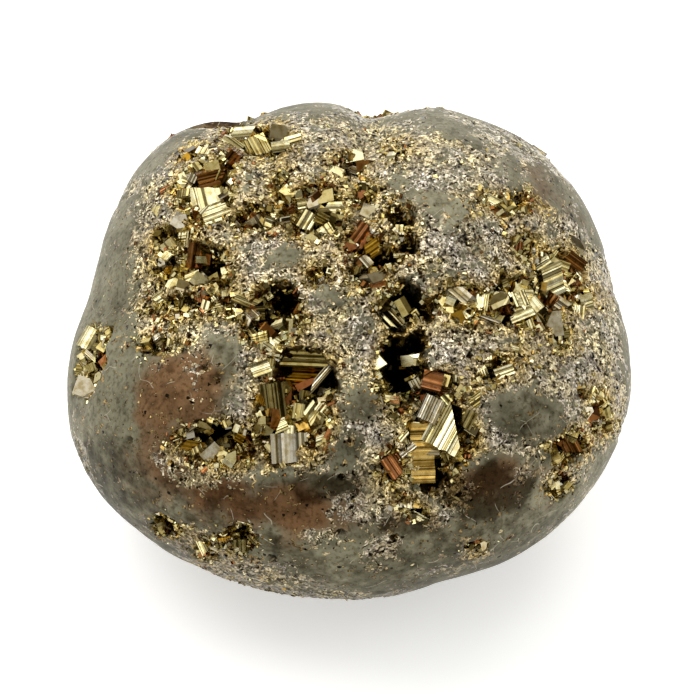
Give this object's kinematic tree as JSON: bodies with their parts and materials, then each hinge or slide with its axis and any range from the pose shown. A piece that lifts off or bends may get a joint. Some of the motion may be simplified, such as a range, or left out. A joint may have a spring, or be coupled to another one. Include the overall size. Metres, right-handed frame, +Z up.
{
  "type": "pyrite specimen",
  "caption": "Tumbled pyrite nodule with smooth polished areas, rough sparkling druse and open pits lined with flat-faced striated crystals, resting on a flat underside.",
  "frame": {"origin": "on the surface that the stone rests on, under the middle of its bounding box", "axes": "+X along the stone's width, +Y along its depth away from the side with the most pits, +Z up"},
  "size_m": [0.04, 0.0387, 0.0276],
  "materials": {
    "pyrite": "natural iron sulphide with a pale brass metallic lustre: worn to a dull grey-olive polish on the high areas, rough and glittering in between, browned by tarnish at the lower left"
  },
  "bodies": {
    "root": {"pyrite_nodule": "pyrite"}
  },
  "joints": []
}
